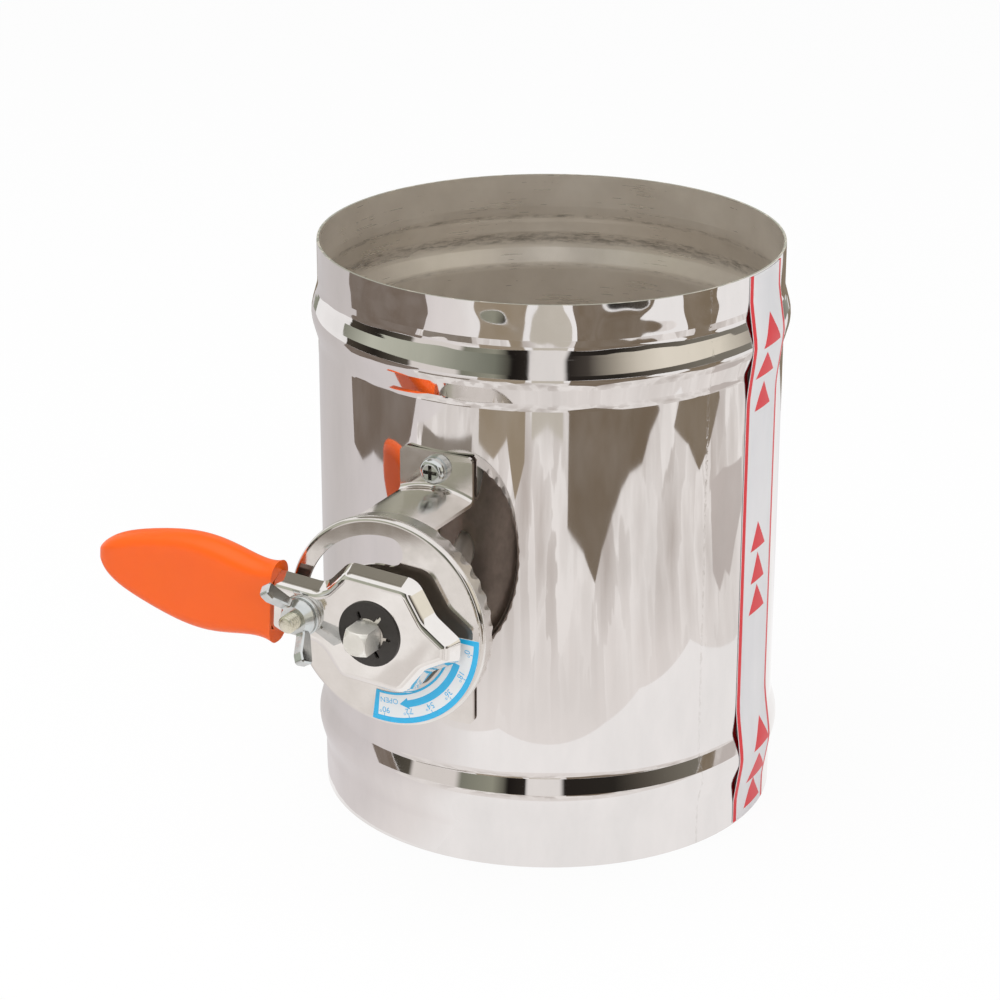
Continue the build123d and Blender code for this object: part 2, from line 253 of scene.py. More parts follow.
for name, (code, edge) in floor_cards.items():
    tree, colour = flat_card(name, edge, card_lift)
    tone = noise(tree, object_place(tree), scale=wear_scale, detail=3, roughness=0.6)
    paler = mixed_colour(tree, card_wear, code, white)
    feed(tree, colour, mixed_colour(tree, ramp(tree, tone, 0.4, 0.7), code, paler))

# Crumpled tissue lies under the damper's front. It is smooth near the damper, and its folds run outwards,
# with their light and shade painted.
tissue_edge = [(0.2, -36), (0.185, 8), (0.175, 32), (0.19, 50), (0.214, 65), (0.244, 91), (0.216, 118),
               (0.25, 134), (0.55, 136), (0.58, 100), (0.6, 60), (0.6, 20), (0.6, -10), (0.5, -36)]
tissue_lift = 0.5 * mm
folds_round = 9.5
folds_outwards = 6.5
crumple_scale = 2.2
crumple_shift = (0.9, 0.9, 0)
tilt_shade = 0.6
ridge_shade = 0.55
smooth_until = 0.17
folded_from = 0.34
tree, colour = flat_card("tissue", tissue_edge, tissue_lift)
parts = split(tree, object_place(tree))
spread = sums(tree, "SQRT", sums(tree, "ADD", sums(tree, "POWER", parts["X"], 2),
                                 sums(tree, "POWER", parts["Y"], 2)))
folds = add(tree, "CombineXYZ", X=sums(tree, "MULTIPLY", bearing_of(tree, parts), folds_round),
            Y=sums(tree, "MULTIPLY", spread, folds_outwards)).outputs[0]
crumple = add(tree, "TexNoise", Vector=folds, Scale=crumple_scale, Detail=2, Roughness=0.5).outputs["Color"]
shifted = vectors(tree, "MULTIPLY_ADD", crumple, crumple_shift, folds)
# Painted light and shade of the folds: each facet is lighter or darker by its tilt and towards its ridge.
facet = add(tree, "TexVoronoi", Vector=shifted, Scale=1.0).outputs
tilt = split(tree, facet["Color"])["X"]
lit = sums(tree, "ADD", sums(tree, "MULTIPLY", tilt, tilt_shade),
           sums(tree, "MULTIPLY", facet["Distance"], ridge_shade))
fold_shade = mixed_colour(tree, ramp(tree, lit, 0.15, 0.85), "C9C2BD", "FCFAF8")
feed(tree, colour, mixed_colour(tree, ramp(tree, spread, smooth_until, folded_from), "F4F1EF", fold_shade))

# Bands of card stand round the sweep, hang over it or lie on its floor.
# Their colours run round them, as (bearing, colour) from the left to the right. A gap shows the white sky.
duct_foot = 0.081
left_sink = 0.7 * mm
wall_distance = 1.25
wall_foot = 0.8
wall_step = 3
wall_low = 0.14
wall_high = 0.8
low_band = [(-80, "4A443B"), (-60, "2C2824"), (-40, "57534A"), (-38, "E8E4E0"), (-16, "E8E4E0"),
            (-13, "85877A"), (2, "9A9B8C"), (7, "6B6A60"), (9, "1F1C1A"), (17, "2E2A26"), (18, "F2F0EE"),
            (33, "F2F0EE"), (35, "2A2623"), (58, "2E2B27"), (72, "57524A"), (95, "7A766C"), (132, "8A877E")]
high_band = [(-84, "8E9083"), (-62, "C9CCBE"), (-30, "B9BCAE"), (-16, "9C9F92"), (2, "7E8175"), (8, "55544C"),
             (10, "1F1C1A"), (17, "2E2A26"), (18, "F2F0EE"), (33, "F2F0EE"), (35, "2E2A27"), (44, "4A4540"),
             (56, "A9A396"), (68, "DFD9CB"), (80, "F2EDDF"), (110, "EAE5D6"), (132, "B5AFA3")]
# The band lying on the floor beside the damper's left is a painted floor shadow, greyer near the damper, that
# the metal mirrors.
left_floor_shadow = [(-195, "FFFFFF"), (-165, "DAD9DC"), (-130, "D0CCCC"), (-90, "D3CFCE"), (-62, "E1DDDE"),
              (-35, "E5E1E1"), (-15, "F4F1F0"), (-2, "FFFFFF")]
rear_band = [(160, "6A665E"), (200, "C9CBBE"), (242, "8E9083")]
roof_band = [(150, "8C887E"), (200, "A8A499"), (245, "8F8B80"), (275, "77736A"), (305, "B9B5AA")]


def card_band(name, profile, colours):
    """A band of card spun round the sweep from its (radius, height) profile, coloured by bearing."""
    first, last = colours[0][0], colours[-1][0]
    middle = radians((first + last) / 2)
    bm = bmesh.new()
    line = [bm.verts.new(polar(radius, first, height + card_lift)) for radius, height in profile]
    edges = [bm.edges.new(pair) for pair in zip(line, line[1:])]
    bmesh.ops.spin(bm, geom=[*line, *edges], cent=(0, 0, 0), axis=(0, 0, 1), angle=radians(last - first),
                   steps=int((last - first) / wall_step))
    tree, colour = reflected_card(name, bm)
    turned = add(tree, "Mapping", vector_type="POINT", Vector=object_place(tree), Rotation=(0, 0, -middle))
    bearing = bearing_of(tree, split(tree, turned.outputs[0]))
    share = sums(tree, "ADD", sums(tree, "DIVIDE", bearing, radians(last - first)), 0.5)
    shades = add(tree, "ValToRGB", Fac=share)
    for _ in colours[2:]:
        shades.color_ramp.elements.new(0.5)
    for stop, (turn, code) in zip(shades.color_ramp.elements, colours):
        stop.position = (turn - first) / (last - first)
        stop.color = srgb(code)
    feed(tree, colour, shades.outputs[0])


low_profile = [(wall_foot, 0), (wall_distance, 0), (wall_distance, wall_low)]
high_profile = [(wall_distance, wall_low), (wall_distance, wall_high)]
left_profile = [(duct_foot, -left_sink), (wall_foot, -left_sink)]
roof_profile = [(1.1, 1.0), (0.45, 1.35)]
card_band("low_band", low_profile, low_band)
card_band("high_band", high_profile, high_band)
card_band("rear_band", [*low_profile, (wall_distance, wall_high)], rear_band)
card_band("left_floor_shadow", left_profile, left_floor_shadow)
card_band("roof_band", roof_profile, roof_band)

light_aim = Vector((0, 0, 0.1))


def area_light(name, place, size, watts):
    """A round lamp that shines on the damper and that metal doesn't mirror."""
    light = bpy.data.lights.new(name, "AREA")
    light.shape = "DISK"
    light.size = size
    light.energy = watts
    lamp = bpy.data.objects.new(name, light)
    lamp.location = place
    lamp.rotation_euler = (light_aim - Vector(place)).to_track_quat("-Z", "Y").to_euler()
    lamp.visible_glossy = False
    scene.collection.objects.link(lamp)


area_light("overhead", place=(-0.35, -0.45, 1.5), size=1.7, watts=16)
area_light("side_fill", place=(1.3, -0.9, 0.9), size=1.2, watts=6)


# Duct body: a length of stainless sheet rolled to a tube, welded down one side and beaded near both ends.
# The sheet is mirror polished outside and left with its dull mill finish inside, marked by the beading rolls.
duct_radius = 80 * mm
duct_length = 200 * mm
weld_bearing = 67.3
weld_width = 0.9 * mm
weld_tint = 0.3
weld_haze = 0.16
weld_rise = 0.1
mill_metallic = 0.72
swell_depth = 0.12 * mm
ripple_scale = 55
collar_ripple = 7.0
collar_end = 12 * mm
bead_start = 18 * mm
# Scuffs left inside by the beading rolls, as (height, half width, strength).
roll_scuffs = [(175.5 * mm, 2.6 * mm, 0.62), (184.3 * mm, 0.9 * mm, 0.5), (165.6 * mm, 0.8 * mm, 0.3),
               (24.5 * mm, 2.6 * mm, 0.62), (15.7 * mm, 0.9 * mm, 0.5), (34.4 * mm, 0.8 * mm, 0.3)]
scuff_core = 0.4


def dress(name, material):
    """Gives a CAD piece its finish."""
    for slot in nodes[name].material_slots:
        slot.material = material


def principled(tree, **settings):
    """The material's shader, joined to its output."""
    add(tree, "OutputMaterial", Surface=add(tree, "BsdfPrincipled", **settings).outputs[0])


def bumped(tree, height, distance, strength=1.0):
    return add(tree, "Bump", Height=height, Distance=distance, Strength=strength).outputs[0]


def mixed_value(tree, share, first, second):
    """Two numbers mixed by a share from 0 to 1."""
    made = add(tree, "Mix", data_type="FLOAT")
    for number, value in ((0, share), (2, first), (3, second)):
        feed(tree, made.inputs[number], value)
    return made.outputs[0]


def unrolled(tree, radius):
    """(height, bearing, place on the flat sheet) of a point on the tube."""
    parts = split(tree, object_place(tree))
    bearing = bearing_of(tree, parts)
    flat = add(tree, "CombineXYZ", X=sums(tree, "MULTIPLY", bearing, radius), Y=parts["Z"]).outputs[0]
    return parts["Z"], bearing, flat


def stretched(tree, vector, scale):
    return add(tree, "Mapping", vector_type="POINT", Vector=vector, Scale=scale).outputs[0]


material, tree = blank_material("rolled_stainless")
height, bearing, flat = unrolled(tree, duct_radius)
place = object_place(tree)
normal = add(tree, "NewGeometry").outputs["Normal"]
outward = vectors(tree, "DOT_PRODUCT", normal, vectors(tree, "MULTIPLY", place, (1, 1, 0)))
inside = sums(tree, "LESS_THAN", outward, 0.0)

from_weld = sums(tree, "ABSOLUTE", sums(tree, "SUBTRACT", bearing, radians(weld_bearing)))
from_weld = sums(tree, "MULTIPLY", from_weld, duct_radius)
weld_grain = noise(tree, stretched(tree, flat, (1, 0.6, 1)), scale=900, detail=3, roughness=0.6)
weld_line = sums(tree, "LESS_THAN", from_weld, sums(tree, "MULTIPLY", weld_grain, weld_width))
weld_trace = noise(tree, stretched(tree, flat, (1, 0.5, 1)), scale=700, detail=2, roughness=0.6)
weld = sums(tree, "MULTIPLY", weld_line, ramp(tree, weld_trace, 0.42, 0.6))

smudge = noise(tree, stretched(tree, place, (1, 1, 0.35)), scale=60, detail=4, roughness=0.6)
wipe = noise(tree, stretched(tree, place, (1, 1, 0.08)), scale=500)
shine = sums(tree, "ADD", ramp(tree, smudge, 0.35, 0.75, 0.012, 0.05), sums(tree, "MULTIPLY", wipe, 0.02))
brush = noise(tree, stretched(tree, place, (0.03, 0.03, 1)), scale=1500, detail=3, roughness=0.6)
blotch = noise(tree, place, scale=35, detail=4, roughness=0.6)
dull = sums(tree, "ADD", ramp(tree, brush, 0.3, 0.7, 0.22, 0.34), ramp(tree, blotch, 0.3, 0.7, 0.0, 0.1))
rough = mixed_value(tree, inside, shine, dull)
rough = sums(tree, "MAXIMUM", rough, sums(tree, "MULTIPLY", weld, weld_haze))

mill = mixed_colour(tree, ramp(tree, blotch, 0.3, 0.7), "D6CEC3", "EAE3D9")
scuff = 0.0
for middle, spread, share in roll_scuffs:
    off = sums(tree, "ABSOLUTE", sums(tree, "SUBTRACT", height, middle))
    line = sums(tree, "MULTIPLY", ramp(tree, off, scuff_core * spread, spread, 1.0, 0.0), share)
    scuff = sums(tree, "MAXIMUM", scuff, line)
scrape = noise(tree, stretched(tree, place, (0.22, 0.22, 1)), scale=900, detail=4, roughness=0.65)
scuff = sums(tree, "MULTIPLY", scuff, ramp(tree, scrape, 0.42, 0.7))
mill = mixed_colour(tree, scuff, mill, "4E463E")
polished = mixed_colour(tree, ramp(tree, smudge, 0.3, 0.8), "E9E4E2", "DEDAD8")
colour = mixed_colour(tree, inside, polished, mill)
colour = mixed_colour(tree, sums(tree, "MULTIPLY", weld, weld_tint), colour, "C6C1BB")

# The sheet swells a little between the rolls, and the plain collars past the beads are left wavy.
swell = noise(tree, stretched(tree, place, (1, 1, 0.3)), scale=18, detail=1, roughness=0.4)
relief = sums(tree, "ADD", swell, sums(tree, "MULTIPLY", weld, weld_rise))
from_rim = sums(tree, "MINIMUM", height, sums(tree, "SUBTRACT", duct_length, height))
collar = ramp(tree, from_rim, collar_end, bead_start, collar_ripple, 0.0)
ripple = noise(tree, place, scale=ripple_scale, detail=1, roughness=0.4)
relief = sums(tree, "ADD", relief, sums(tree, "MULTIPLY", ripple, collar))
principled(tree, Base_Color=colour, Roughness=rough, Normal=bumped(tree, relief, swell_depth),
           Metallic=ramp(tree, inside, 0.0, 1.0, 1.0, mill_metallic))
dress("duct_body", material)


# Seam tape: a strip of printed white film stuck down the duct to shield the polish until it is fitted.
# Two red lines run down its edges, and red triangles in groups of three point up the pipe.
tape_bearing = 90.5
tape_width = 25.8 * mm
tape_line_inset = 1.2 * mm
tape_line_width = 2.0 * mm
tape_radius = 80.25 * mm
wrinkle_depth = 0.15 * mm

# The printed triangles, as (height of the tip, height of the base, first bearing, last bearing of the base).
triangles = [(184.9, 173.5, 86.2, 96.3), (171.8, 163.4, 84.2, 94.1), (161.2, 151.5, 85.3, 94.2),
             (110.6, 100.6, 85.7, 94.2), (99.2, 88.5, 86.3, 94.3), (87.3, 77.1, 85.8, 95.2),
             (36.1, 24.4, 88.4, 98.8), (22.3, 13.0, 86.7, 98.9), (13.2, 3.0, 86.6, 96.9)]
triangle_tip = 0.42


def triangle_group():
    """A mask of one printed triangle from its tip, its base and the base's two ends."""
    group = bpy.data.node_groups.new("printed_triangle", "ShaderNodeTree")
    face = group.interface
    for name in ("Bearing", "Height", "Tip", "Base", "First", "Last"):
        face.new_socket(name, in_out="INPUT", socket_type="NodeSocketFloat")
    face.new_socket("Mask", in_out="OUTPUT", socket_type="NodeSocketFloat")
    into = group.nodes.new("NodeGroupInput").outputs
    out = group.nodes.new("NodeGroupOutput").inputs
    rise = sums(group, "SUBTRACT", into["Height"], into["Base"])
    rise = sums(group, "DIVIDE", rise, sums(group, "SUBTRACT", into["Tip"], into["Base"]))
    run = sums(group, "SUBTRACT", into["Bearing"], into["First"])
    run = sums(group, "DIVIDE", run, sums(group, "SUBTRACT", into["Last"], into["First"]))
    left = sums(group, "MULTIPLY", rise, triangle_tip)
    right = sums(group, "SUBTRACT", 1.0, sums(group, "MULTIPLY", rise, 1 - triangle_tip))
    mask = sums(group, "GREATER_THAN", rise, 0.0)
    mask = sums(group, "MULTIPLY", mask, sums(group, "GREATER_THAN", run, left))
    mask = sums(group, "MULTIPLY", mask, sums(group, "LESS_THAN", run, right))
    group.links.new(mask, out["Mask"])
    return group


material, tree = blank_material("printed_film")
height, bearing, flat = unrolled(tree, tape_radius)
degrees = sums(tree, "MULTIPLY", bearing, 180 / pi)
millimetres = sums(tree, "MULTIPLY", height, 1 / mm)
printed_triangle = triangle_group()
across = sums(tree, "MULTIPLY", sums(tree, "SUBTRACT", bearing, radians(tape_bearing)), tape_radius)
from_line = sums(tree, "ABSOLUTE", sums(tree, "SUBTRACT", sums(tree, "ABSOLUTE", across),
                                        tape_width / 2 - tape_line_inset))
ink = sums(tree, "LESS_THAN", from_line, tape_line_width / 2)
for tip, base, first, last in triangles:
    mark = add(tree, "Group", node_tree=printed_triangle)
    for name, value in (("Bearing", degrees), ("Height", millimetres), ("Tip", tip), ("Base", base),
                        ("First", first), ("Last", last)):
        feed(tree, mark.inputs[name], value)
    ink = sums(tree, "MAXIMUM", ink, mark.outputs["Mask"])
wrinkle = noise(tree, stretched(tree, flat, (1, 0.25, 1)), scale=90, detail=3, roughness=0.5)
film = mixed_colour(tree, ramp(tree, wrinkle, 0.3, 0.7), "E5E3E4", "DBDADC")
principled(tree, Base_Color=mixed_colour(tree, ink, film, "DB1F2B"), Roughness=0.38, Specular_IOR_Level=0.3,
           Normal=bumped(tree, wrinkle, wrinkle_depth, strength=0.5))


def shade_smooth(made, crease):
    """Smooth shading, with the edges left sharp where faces meet at more than the crease angle."""
    for face in made.data.polygons:
        face.use_smooth = True
    made.data.set_sharp_from_angle(angle=radians(crease))


# The film is pulled tight, so it stands off the wall on both sides of each bead.
# Its line is given as (height, stand-off) in mm.
film_seat = 80.05 * mm
film_thickness = 0.15 * mm
film_steps = 12
film_crease = 40
half_line = [(0.5, 0.0), (6.0, 0.0), (9.0, 0.04), (12.0, 0.42), (15.5, 0.98), (19.0, 1.52), (22.0, 2.0),
             (25.0, 2.24), (28.0, 2.0), (31.5, 1.55), (35.0, 1.08), (39.0, 0.56), (43.0, 0.14), (46.0, 0.02),
             (60.0, 0.0)]
film_line = half_line + [(duct_length / mm - level, rise) for level, rise in reversed(half_line)]
half_turn = tape_width / film_seat / 2
bm = bmesh.new()
line = [bm.verts.new(polar(film_seat + rise * mm, tape_bearing - half_turn * 180 / pi, level * mm))
        for level, rise in film_line]
edges = [bm.edges.new(pair) for pair in zip(line, line[1:])]
bmesh.ops.spin(bm, geom=[*line, *edges], cent=(0, 0, 0), axis=(0, 0, 1), angle=2 * half_turn,
               steps=film_steps)
bmesh.ops.recalc_face_normals(bm, faces=bm.faces)
if bm.faces[0].normal.dot(bm.faces[0].calc_center_median()) < 0:
    bmesh.ops.reverse_faces(bm, faces=bm.faces)
bmesh.ops.solidify(bm, geom=bm.faces[:], thickness=-film_thickness)
printed_film = put("printed_film", bm)
shade_smooth(printed_film, film_crease)
printed_film.data.materials.append(material)
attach(printed_film, "duct")
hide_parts("seam_tape")


# Shaft bushes: white nylon bearings pressed into the wall, front and rear, that carry the shaft.
# They are injection moulded, with a flange outside and a lip inside.
material, tree = blank_material("white_nylon")
cloud = noise(tree, object_place(tree), scale=120, detail=3, roughness=0.5)
principled(tree, Base_Color=mixed_colour(tree, cloud, "E4E1DA", "D9D5CC"), Roughness=0.42,
           Subsurface_Weight=0.15)
for name in ("front_bush", "rear_bush"):
    dress(name, material)


# Handle bracket: one blank of polished stainless, pressed to a round dish with two legs bent to the wall.
# The dish's skirt is puckered where the press gathered it.
dial_centre = Vector((0, 0, 100)) * mm
steel_swell = 0.1 * mm


def steel_finish_group():
    """The colour, roughness and slight swell of polished pressed steel."""
    group = bpy.data.node_groups.new("polished_steel", "ShaderNodeTree")
    face = group.interface
    for name in ("Smooth", "Hazy", "Swell"):
        face.new_socket(name, in_out="INPUT", socket_type="NodeSocketFloat")
    for name in ("Bright", "Dim"):
        face.new_socket(name, in_out="INPUT", socket_type="NodeSocketColor")
    face.new_socket("Color", in_out="OUTPUT", socket_type="NodeSocketColor")
    face.new_socket("Roughness", in_out="OUTPUT", socket_type="NodeSocketFloat")
    face.new_socket("Height", in_out="OUTPUT", socket_type="NodeSocketFloat")
    into = group.nodes.new("NodeGroupInput").outputs
    out = group.nodes.new("NodeGroupOutput").inputs
    place = object_place(group)
    smear = noise(group, place, scale=180, detail=4, roughness=0.6)
    hair = noise(group, stretched(group, place, (1, 1, 0.06)), scale=1400)
    haze = sums(group, "MULTIPLY", ramp(group, smear, 0.35, 0.75), into["Hazy"])
    haze = sums(group, "ADD", haze, sums(group, "MULTIPLY", hair, 0.02))
    group.links.new(sums(group, "ADD", haze, into["Smooth"]), out["Roughness"])
    tone = mixed_colour(group, ramp(group, smear, 0.3, 0.8), into["Bright"], into["Dim"])
    group.links.new(tone, out["Color"])
    group.links.new(sums(group, "MULTIPLY", noise(group, place, scale=45), into["Swell"]), out["Height"])
    return group


polished_steel = steel_finish_group()


def steel_finish(tree, smooth, hazy, swell, bright, dim):
    """The shared finish placed in a material, with this piece's own values."""
    return add(tree, "Group", node_tree=polished_steel, Smooth=smooth, Hazy=hazy, Swell=swell, Bright=bright,
               Dim=dim).outputs


def steel_shader(tree, swell, colour, rough, metallic=1.0):
    """The metal's shader, slightly swollen."""
    principled(tree, Base_Color=colour, Roughness=rough, Metallic=metallic,
               Normal=bumped(tree, swell, steel_swell))


def steel_material(name, smooth, hazy, swell, bright, dim, metallic=1.0):
    """A metal with one finish all over."""
    material, tree = blank_material(name)
    finish = steel_finish(tree, smooth, hazy, swell, bright, dim)
    steel_shader(tree, finish["Height"], finish["Color"], finish["Roughness"], metallic)
    return material


def off_axis(tree, across, rise):
    """The distance from an axis along Y, from the offsets to its side and above it."""
    return vectors(tree, "LENGTH", add(tree, "CombineXYZ", X=across, Z=rise).outputs[0])


# The hollow side has the sheet's dull mill finish and painted shade. The press hazes the legs and the skirt.
# A haze starts and ends over a short run along the shaft's axis, and the skirt's also over its radius.
hollow_centre = (0, -75 * mm, 100 * mm)
leg_haze = 0.1
leg_front = (-108 * mm, -103 * mm)
leg_back = (-88 * mm, -84 * mm)
skirt_haze = 0.2
skirt_edge = (34.0 * mm, 34.8 * mm)
skirt_front = (-114.6 * mm, -113.6 * mm)
skirt_back = (-107.2 * mm, -106.6 * mm)
material, tree = blank_material("pressed_bracket")
place = object_place(tree)
normal = add(tree, "NewGeometry").outputs["Normal"]
facing = vectors(tree, "DOT_PRODUCT", vectors(tree, "SUBTRACT", place, hollow_centre), normal)
hollow = sums(tree, "LESS_THAN", facing, 0.0)
front = steel_finish(tree, smooth=0.06, hazy=0.05, swell=0.3, bright="E6E1DD", dim="DDD8D3")
# The hollow side's colour is darker than the mill finish alone, as painted shade of the cavity.
back = steel_finish(tree, smooth=0.34, hazy=0.12, swell=0.4, bright="A0968D", dim="887E76")
parts = split(tree, place)
drag = ramp(tree, parts["Y"], *leg_front, 0.0, leg_haze)
drag = sums(tree, "MULTIPLY", drag, ramp(tree, parts["Y"], *leg_back, 1.0, 0.0))
from_shaft = off_axis(tree, parts["X"], sums(tree, "SUBTRACT", parts["Z"], dial_centre.z))
skirt = ramp(tree, from_shaft, *skirt_edge, 0.0, skirt_haze)
skirt = sums(tree, "MULTIPLY", skirt, ramp(tree, parts["Y"], *skirt_front))
skirt = sums(tree, "MULTIPLY", skirt, ramp(tree, parts["Y"], *skirt_back, 1.0, 0.0))
hazed = sums(tree, "ADD", front["Roughness"], sums(tree, "MAXIMUM", drag, skirt))
steel_shader(tree, front["Height"], mixed_colour(tree, hollow, front["Color"], back["Color"]),
             mixed_value(tree, hollow, hazed, back["Roughness"]))
dress("handle_bracket", material)


# Scale label: a white film sector stuck on the dish, printed blue with a border, an arrow and an angle scale.
# The words at its ends name the shut and open places of the lever.
label_face = 115.6 * mm
print_rise = 0.02 * mm
label_inner = 24.0 * mm
label_outer = 34.6 * mm
label_start = 1.0
label_end = -98.0
border = 1.9 * mm
inner_border = 0.8 * mm
border_turn = 3.2

material, tree = blank_material("label_film")
film = mixed_colour(tree, noise(tree, object_place(tree), scale=90), "F1F3F4", "E8EBEE")
principled(tree, Base_Color=film, Roughness=0.3, Coat_Weight=0.3, Coat_Roughness=0.1)
dress("scale_label", material)

blue_ink, tree = blank_material("blue_print")
blue = mixed_colour(tree, noise(tree, object_place(tree), scale=400), "24B4EA", "2CBBEE")
principled(tree, Base_Color=blue, Roughness=0.35)


def on_dial(radius, turn):
    """A point of the label's print, from its radius and its angle from the lever's zero side."""
    return dial_centre + Vector((radius * cos(radians(turn)), -label_face - print_rise,
                                 radius * sin(radians(turn))))


def dial_arc(bm, inner, outer, first, last):
    """A flat printed band between two radii."""
    ends = [bm.verts.new(on_dial(radius, first)) for radius in (inner, outer)]
    edge = bm.edges.new(ends)
    bmesh.ops.spin(bm, geom=[*ends, edge], cent=dial_centre, axis=(0, -1, 0), angle=radians(last - first),
                   steps=max(1, int(abs(last - first) / 2)))


def ink_label(made):
    """Gives a printed piece its ink and fixes it to the label."""
    made.data.materials.append(blue_ink)
    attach(made, "duct")


arrow_inner = 26.7 * mm
arrow_outer = 29.1 * mm
arrow_start = -18
arrow_neck = -72
arrow_tip = -79
arrow_flare = 0.8 * mm
scale_zero = -8.1
scale_steps = 6
scale_value = 18
scale_stride = 16.5
tick_length = 0.9 * mm
tick_turn = 0.45
merge_distance = 0.001 * mm

bm = bmesh.new()
field_inner = label_inner + inner_border
field_outer = label_outer - border
dial_arc(bm, field_outer, label_outer, label_start, label_end)
dial_arc(bm, label_inner, field_inner, label_start, label_end)
dial_arc(bm, field_inner, field_outer, label_start, label_start - border_turn)
dial_arc(bm, field_inner, field_outer, label_end + border_turn, label_end)
dial_arc(bm, arrow_inner, arrow_outer, arrow_start, arrow_neck)
head = [(arrow_inner - arrow_flare, arrow_neck), (arrow_outer + arrow_flare, arrow_neck),
        ((arrow_inner + arrow_outer) / 2, arrow_tip)]
bm.faces.new([bm.verts.new(on_dial(radius, turn)) for radius, turn in head])
for step in range(scale_steps):
    turn = scale_zero - step * scale_stride
    dial_arc(bm, field_outer - tick_length, field_outer, turn + tick_turn / 2, turn - tick_turn / 2)
bmesh.ops.remove_doubles(bm, verts=bm.verts, dist=merge_distance)
bmesh.ops.recalc_face_normals(bm, faces=bm.faces)
for face in bm.faces:
    if face.normal.y > 0:
        face.normal_flip()
ink_label(put("label_print", bm))


def dial_text(name, words, size, radius, turn):
    """Words printed round the dial, their tops outwards."""
    curve = bpy.data.curves.new(name, "FONT")
    curve.body = words
    curve.size = size
    curve.align_x = "CENTER"
    curve.align_y = "CENTER"
    made = bpy.data.objects.new(name, curve)
    mesh = bpy.data.meshes.new_from_object(made)
    bpy.data.objects.remove(made)
    mesh.transform(Matrix.Rotation(radians(90), 4, "X"))
    mesh.transform(Matrix.Rotation(radians(90 - turn), 4, "Y"))
    mesh.transform(Matrix.Translation(on_dial(radius, turn)))
    piece = bpy.data.objects.new(name, mesh)
    scene.collection.objects.link(piece)
    ink_label(piece)


numeral_size = 2.9 * mm
numeral_radius = 30.45 * mm
word_size = 2.6 * mm
word_radius = 26.9 * mm
shut_turn = -10
open_turn = -87
for step in range(scale_steps):
    value = step * scale_value
    dial_text(f"scale_{value}", f"{value}°", numeral_size, numeral_radius, scale_zero - step * scale_stride)
dial_text("word_shut", "SHUT", word_size, word_radius, shut_turn)
dial_text("word_open", "OPEN", word_size, word_radius, open_turn)


# Bracket screws, washers and nuts: zinc plated machine screws with cross recesses, one through each foot.
# They are cold headed and bright plated, and each has a plain washer outside and a nut inside the duct.
zinc_bright = "DADCDB"
zinc_dim = "C8CCCC"
zinc = steel_material("bright_zinc", smooth=0.14, hazy=0.12, swell=0.4, bright=zinc_bright, dim=zinc_dim)
for name in ("bracket_washers", "bracket_nuts"):
    dress(name, zinc)

# The cross recess, which is cut in the flat of the head, is painted dark as shade.
head_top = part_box("bracket_screws")[0].y
head_flat = 2.55 * mm
screw_offset = 41.6 * mm
recess_lip = 0.1 * mm
recess_dark = 0.5 * mm
material, tree = blank_material("recessed_zinc")
finish = steel_finish(tree, smooth=0.08, hazy=0.1, swell=0.4, bright=zinc_bright, dim=zinc_dim)
parts = split(tree, object_place(tree))
rise = sums(tree, "ABSOLUTE", sums(tree, "SUBTRACT", parts["Z"], dial_centre.z))
from_screw = off_axis(tree, parts["X"], sums(tree, "SUBTRACT", rise, screw_offset))
depth = sums(tree, "SUBTRACT", parts["Y"], head_top)
recess_shade = sums(tree, "MULTIPLY", ramp(tree, depth, recess_lip, recess_dark),
              sums(tree, "LESS_THAN", from_screw, head_flat))
steel_shader(tree, finish["Height"], mixed_colour(tree, recess_shade, finish["Color"], "75726E"),
             finish["Roughness"])
dress("bracket_screws", material)


# Shaft and hub: a turned steel bar with a milled square at its front end, and the round hub on it.
# The bar has its machining marks and a thin bright plating.
turned_steel = steel_material("turned_steel", smooth=0.34, hazy=0.12, swell=0.3, bright="EFECE5",
                              dim="E2DFD7", metallic=0.7)
for name in ("shaft", "lever_hub"):
    dress(name, turned_steel)


# Blade: a disc of plain stainless sheet that lies on the shaft's flat and closes the duct.
# It is cut from the same sheet as the duct, left dull, and held by two screws.
dress("blade", steel_material("dull_stainless", smooth=0.34, hazy=0.06, swell=0.25, bright="D3CDC5",
                              dim="C9C3BB"))
dress("blade_screws", zinc)


# Lever: a shallow pan pressed from stainless sheet, mirror polished, with a pointer at one end and a tang.
# It sits on the shaft's square, and the tang runs into the grip. Its hollow side, towards the dish, is dull.
hollow_turn = 0.15
hollow_rough = 0.4
hollow_metallic = 0.4
material, tree = blank_material("pressed_stainless")
facing = split(tree, add(tree, "NewGeometry").outputs["Normal"])
hollow = sums(tree, "GREATER_THAN", facing["Y"], hollow_turn)
front = steel_finish(tree, smooth=0.04, hazy=0.04, swell=0.25, bright="F0ECE9", dim="E8E4E0")
rough = sums(tree, "MAXIMUM", front["Roughness"], sums(tree, "MULTIPLY", hollow, hollow_rough))
steel_shader(tree, front["Height"], mixed_colour(tree, hollow, front["Color"], "B9B0A6"), rough,
             ramp(tree, hollow, 0.0, 1.0, 1.0, hollow_metallic))
dress("lever", material)


# Grip: a soft orange vinyl sleeve, dip moulded to a leaf shape and pushed on the lever's tang.
# The vinyl is glossy and smooth, with a faint orange-peel skin.
peel_depth = 0.05 * mm
vinyl_glow = (4 * mm, 2 * mm, 1 * mm)
material, tree = blank_material("orange_vinyl")
place = object_place(tree)
mottle = noise(tree, place, scale=60, detail=3, roughness=0.5)
peel = noise(tree, place, scale=700)
principled(tree, Base_Color=mixed_colour(tree, mottle, "FA6404", "F35C01"),
           Roughness=ramp(tree, mottle, 0.3, 0.7, 0.3, 0.38), Specular_IOR_Level=0.36,
           Subsurface_Weight=0.1, Subsurface_Radius=vinyl_glow, Subsurface_Scale=1.0,
           Normal=bumped(tree, peel, peel_depth, strength=0.25))
dress("handle_grip", material)


